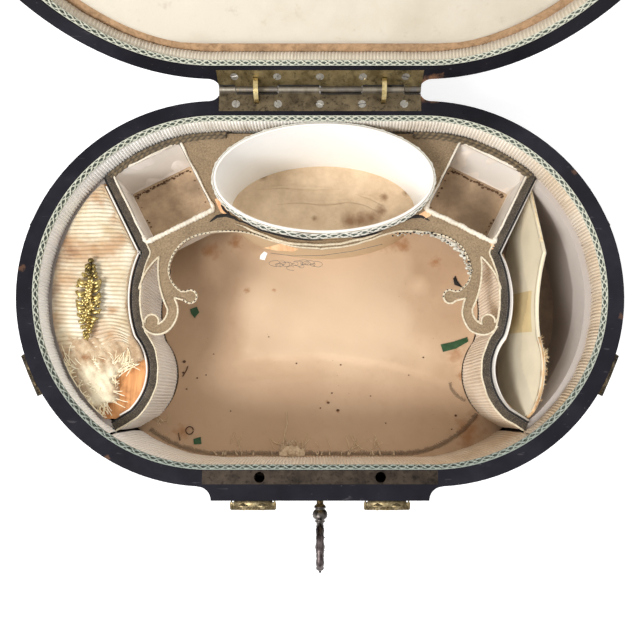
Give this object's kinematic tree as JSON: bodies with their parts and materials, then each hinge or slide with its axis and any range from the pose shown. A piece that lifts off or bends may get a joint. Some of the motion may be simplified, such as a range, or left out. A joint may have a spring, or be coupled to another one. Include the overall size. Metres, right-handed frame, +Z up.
{
  "type": "antique vanity box",
  "caption": "Oval ebonised vanity box shown open, with a silk-lined well, scroll-ended partitions, a lift-out oval tub, square boxes, side pads, a stayed hinge, a lock with key and gilt mounts.",
  "frame": {"origin": "middle of the box's flat underside, on the surface it stands on", "axes": "+X to the right seen from the front, +Y from the lock to the hinge, +Z up"},
  "size_m": [0.359, 0.394, 0.3122],
  "materials": {
    "ebonised_wood": "black polish, satin",
    "bare_wood": "unpolished",
    "ruched_silk": "gathered silk",
    "floor_silk": "plain silk, faded",
    "gimp_braid": "woven braid",
    "brown_velvet": "velvet",
    "wadding": "cotton wadding",
    "white_card": "paper-covered card",
    "lining_card": "paper-covered card",
    "hinge_brass": "aged brass, satin",
    "bright_brass": "rubbed brass",
    "lock_brass": "dark aged brass",
    "gilt_bronze": "gilt bronze, satin",
    "screw_steel": "dull steel",
    "key_iron": "forged iron, rubbed"
  },
  "bodies": {
    "body": {"body_wall": "ebonised_wood", "front_breakfront": "ebonised_wood", "rear_breakfront": "ebonised_wood", "plinth_moulding": "ebonised_wood", "bottom_board": "bare_wood", "wall_band": "ruched_silk", "wall_braid": "gimp_braid", "well_lining": "floor_silk", "well_floor": "floor_silk", "side_floors": "lining_card", "card_left": "lining_card", "card_right": "lining_card", "partition_left": "brown_velvet", "partition_right": "brown_velvet", "partition_silk_left": "ruched_silk", "partition_silk_right": "ruched_silk", "shelf_board": "brown_velvet", "square_box_left": "floor_silk", "square_box_right": "floor_silk", "square_floors": "floor_silk", "pad_ledges": "bare_wood", "hinge_leaf_body": "hinge_brass", "hinge_pin": "hinge_brass", "hinge_screws_body": "screw_steel", "lock_selvedge": "lock_brass", "lock_case": "lock_brass", "lock_backplate": "lock_brass", "lock_screws": "screw_steel", "escutcheon": "gilt_bronze", "front_capitals": "gilt_bronze", "end_capitals": "gilt_bronze", "front_drops": "gilt_bronze", "end_drops": "gilt_bronze"},
    "lid": {"lid_frame": "ebonised_wood", "lid_breakfronts": "ebonised_wood", "lid_dome": "ebonised_wood", "lid_panel": "bare_wood", "lid_cushion": "ruched_silk", "lid_band": "ruched_silk", "lid_braid": "gimp_braid", "lid_link_plate": "lock_brass", "link_screws": "screw_steel", "hinge_leaf_lid": "hinge_brass", "hinge_screws_lid": "screw_steel"},
    "stays": {"hinge_stays": "bright_brass"},
    "curtain": {"key_curtain": "lock_brass"},
    "key": {"key": "key_iron"},
    "bolt": {"lock_bolt": "lock_brass"},
    "tub": {"tub_wall": "white_card", "tub_floor": "floor_silk", "tub_braid": "gimp_braid"},
    "left_pad": {"left_pad_board": "white_card", "left_pad_wadding": "wadding", "left_pad_silk": "ruched_silk"},
    "drop": {"loose_drop": "gilt_bronze"},
    "right_pad": {"right_pad_board": "lining_card", "right_pad_cushion": "ruched_silk"}
  },
  "joints": [
    {"name": "lid_hinge", "type": "hinge", "parent": "body", "child": "lid", "pos_m": [0, 0.1198, 0.087], "axis": [-1, 0, 0], "range_deg": [-110, 0]},
    {"name": "stay_swing", "type": "hinge", "parent": "body", "child": "stays", "pos_m": [0, 0.1198, 0.087], "axis": [-1, 0, 0], "range_deg": [-55, 0]},
    {"name": "key_turn", "type": "hinge", "parent": "body", "child": "curtain", "pos_m": [0, -0.107, 0.065], "axis": [0, -1, 0], "range_deg": [0, 90]},
    {"name": "key_withdraw", "type": "slide", "parent": "curtain", "child": "key", "axis": [0, -1, 0], "range_m": [0, 0.06]},
    {"name": "bolt_slide", "type": "slide", "parent": "body", "child": "bolt", "axis": [1, 0, 0], "range_m": [0, 0.0045]},
    {"name": "tub_lift", "type": "slide", "parent": "body", "child": "tub", "axis": [0, 0, 1], "range_m": [0, 0.09]},
    {"name": "left_pad_lift", "type": "slide", "parent": "body", "child": "left_pad", "axis": [0, 0, 1], "range_m": [0, 0.06]},
    {"name": "drop_lift", "type": "slide", "parent": "left_pad", "child": "drop", "axis": [0, 0, 1], "range_m": [0, 0.06]},
    {"name": "right_pad_lift", "type": "slide", "parent": "body", "child": "right_pad", "axis": [0, 0, 1], "range_m": [0, 0.08]}
  ],
  "couplings": [
    {"joint": "stay_swing", "follows": "lid_hinge", "ratio": 0.5},
    {"joint": "bolt_slide", "follows": "key_turn", "m_per_rad": 0.0028648}
  ]
}
